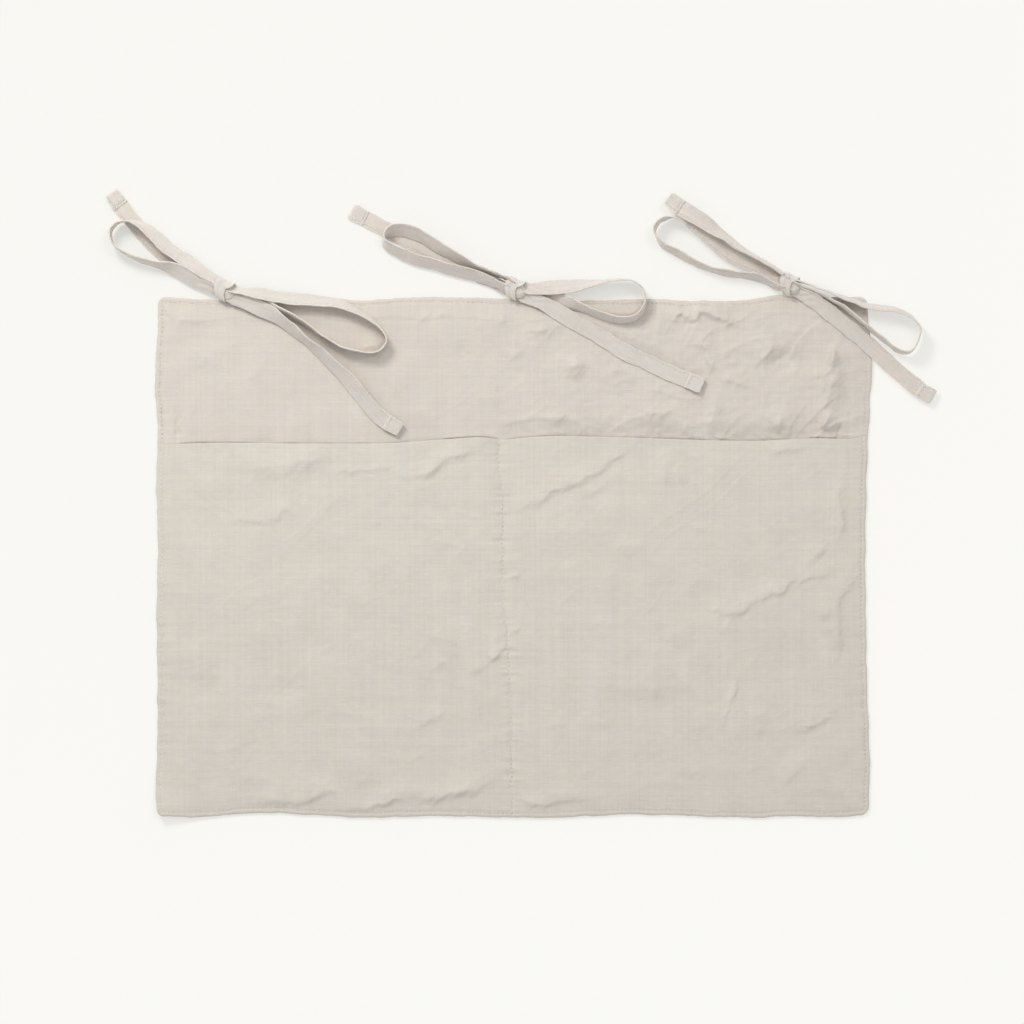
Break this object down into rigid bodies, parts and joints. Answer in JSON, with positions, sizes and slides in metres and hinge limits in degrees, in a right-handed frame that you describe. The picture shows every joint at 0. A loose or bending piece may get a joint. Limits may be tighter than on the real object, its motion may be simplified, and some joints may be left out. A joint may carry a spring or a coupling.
{
  "type": "bedside caddy",
  "caption": "Flat linen hanging caddy with open pockets split by a stitched divider, and tie tapes in bows along the top edge.",
  "frame": {"origin": "middle of the back panel's outer face, which lies on the floor", "axes": "+X along the top edge to the right as seen from the pockets, +Y up the panel towards the tapes, +Z out of the pockets"},
  "size_m": [0.6445, 0.4854, 0.0163],
  "materials": {
    "linen_body": "matt washed linen, plain weave",
    "linen_pocket": "matt washed linen, plain weave, softly creased",
    "linen_tape": "matt folded linen tape",
    "thread": "twisted sewing thread"
  },
  "bodies": {
    "caddy": {"back_panel": "linen_body", "front_panel": "linen_body", "pocket_bottom_margin": "linen_pocket", "pocket_left_margin": "linen_pocket", "pocket_right_margin": "linen_pocket", "pocket_divider_margin": "linen_pocket", "header_topstitch": "thread", "pocket_topstitch": "thread", "divider_stitch": "thread", "left_tie_stem": "linen_tape", "left_knot": "linen_tape", "middle_tie_stem": "linen_tape", "middle_knot": "linen_tape", "right_tie_stem": "linen_tape", "right_knot": "linen_tape"},
    "left_pocket": {"pocket_front_left": "linen_pocket"},
    "right_pocket": {"pocket_front_right": "linen_pocket"},
    "left_outer_half": {"left_outer_loop": "linen_tape", "left_outer_tail": "linen_tape", "left_outer_tail_stitch": "thread"},
    "left_inner_half": {"left_inner_loop": "linen_tape", "left_inner_tail": "linen_tape", "left_inner_tail_stitch": "thread"},
    "middle_outer_half": {"middle_outer_loop": "linen_tape", "middle_outer_tail": "linen_tape", "middle_outer_tail_stitch": "thread"},
    "middle_inner_half": {"middle_inner_loop": "linen_tape", "middle_inner_tail": "linen_tape", "middle_inner_tail_stitch": "thread"},
    "right_outer_half": {"right_outer_loop": "linen_tape", "right_outer_tail": "linen_tape", "right_outer_tail_stitch": "thread"},
    "right_inner_half": {"right_inner_loop": "linen_tape", "right_inner_tail": "linen_tape", "right_inner_tail_stitch": "thread"}
  },
  "joints": [
    {"name": "left_pocket_open", "type": "hinge", "parent": "caddy", "child": "left_pocket", "pos_m": [-0.138, -0.194, 0.0033], "axis": [1, 0, 0], "range_deg": [0, 5]},
    {"name": "right_pocket_open", "type": "hinge", "parent": "caddy", "child": "right_pocket", "pos_m": [0.134, -0.194, 0.0033], "axis": [1, 0, 0], "range_deg": [0, 5]},
    {"name": "left_outer_lift", "type": "hinge", "parent": "caddy", "child": "left_outer_half", "pos_m": [-0.23026, 0.2109, 0.0135], "axis": [0.5, 0.866, 0], "range_deg": [0, 90]},
    {"name": "left_inner_lift", "type": "hinge", "parent": "caddy", "child": "left_inner_half", "pos_m": [-0.21233, 0.20215, 0.0135], "axis": [-0.3746, -0.9272, 0], "range_deg": [0, 90]},
    {"name": "middle_outer_lift", "type": "hinge", "parent": "caddy", "child": "middle_outer_half", "pos_m": [-0.00549, 0.21138, 0.0135], "axis": [0.4384, 0.8988, 0], "range_deg": [0, 90]},
    {"name": "middle_inner_lift", "type": "hinge", "parent": "caddy", "child": "middle_inner_half", "pos_m": [0.0129, 0.20358, 0.0135], "axis": [-0.342, -0.9397, 0], "range_deg": [0, 90]},
    {"name": "right_outer_lift", "type": "hinge", "parent": "caddy", "child": "right_outer_half", "pos_m": [0.20701, 0.21488, 0.0135], "axis": [0.4384, 0.8988, 0], "range_deg": [0, 90]},
    {"name": "right_inner_lift", "type": "hinge", "parent": "caddy", "child": "right_inner_half", "pos_m": [0.22499, 0.20612, 0.0135], "axis": [-0.4384, -0.8988, 0], "range_deg": [0, 90]}
  ]
}
